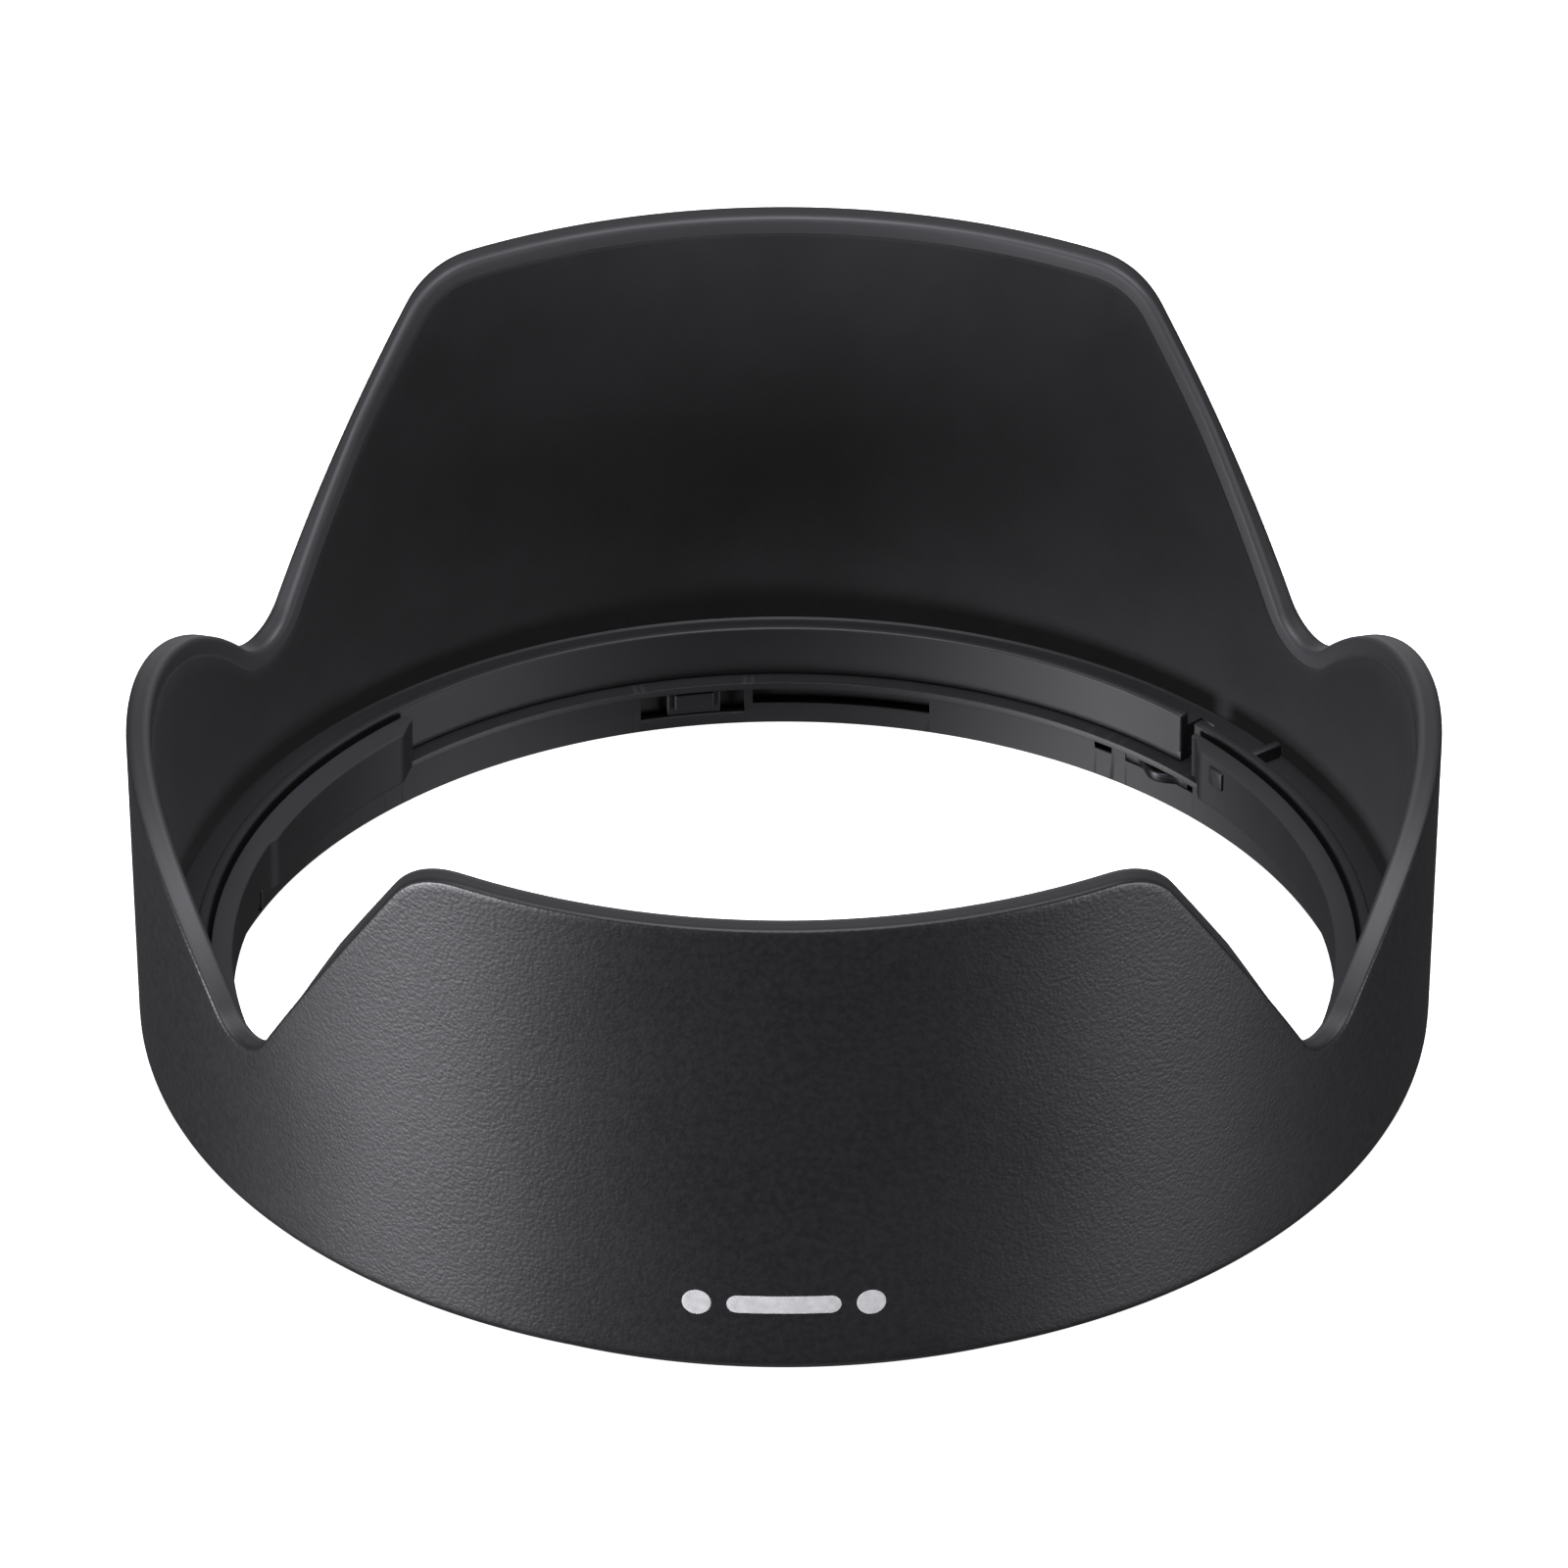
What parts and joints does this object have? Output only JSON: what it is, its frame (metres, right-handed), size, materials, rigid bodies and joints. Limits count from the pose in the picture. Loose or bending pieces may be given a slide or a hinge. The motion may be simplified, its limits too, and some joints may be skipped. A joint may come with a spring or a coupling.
{
  "type": "petal lens hood",
  "caption": "Petal-shaped lens hood with two tall and two short petals, a light-absorbing lining and a twist-on bayonet ring with sprung click stops.",
  "frame": {"origin": "centre of the mount face, where the optical axis meets the plane the hood stands on", "axes": "+Z along the optical axis towards the petals' tips; +Y and -Y through the two tall petals; +X and -X through the two short petals"},
  "size_m": [0.095, 0.0958, 0.0411],
  "materials": {
    "shell_plastic": "fine pebbled texture outside, smooth satin rim and collar",
    "flock": "dull short-pile black flocking",
    "ring_plastic": "smooth satin moulding",
    "spring_steel": "blackened spring strip, burnished on the bump",
    "screw_steel": "blackened screw",
    "white_print": "matt white pad print"
  },
  "bodies": {
    "hood": {"outer_shell": "shell_plastic", "flock_lining": "flock", "bayonet_ring": "ring_plastic", "ring_screws": "screw_steel", "printed_mark": "white_print"},
    "click_spring_right": {"click_spring_right": "spring_steel"},
    "click_spring_left": {"click_spring_left": "spring_steel"}
  },
  "joints": [
    {"name": "click_right", "type": "slide", "parent": "hood", "child": "click_spring_right", "axis": [0.673, 0.7396, 0], "range_m": [0, 0.0005], "stiffness_N_per_m": 6000, "springref_m": -0.0001},
    {"name": "click_left", "type": "slide", "parent": "hood", "child": "click_spring_left", "axis": [-0.673, -0.7396, 0], "range_m": [0, 0.0005], "stiffness_N_per_m": 6000, "springref_m": -0.0001}
  ]
}
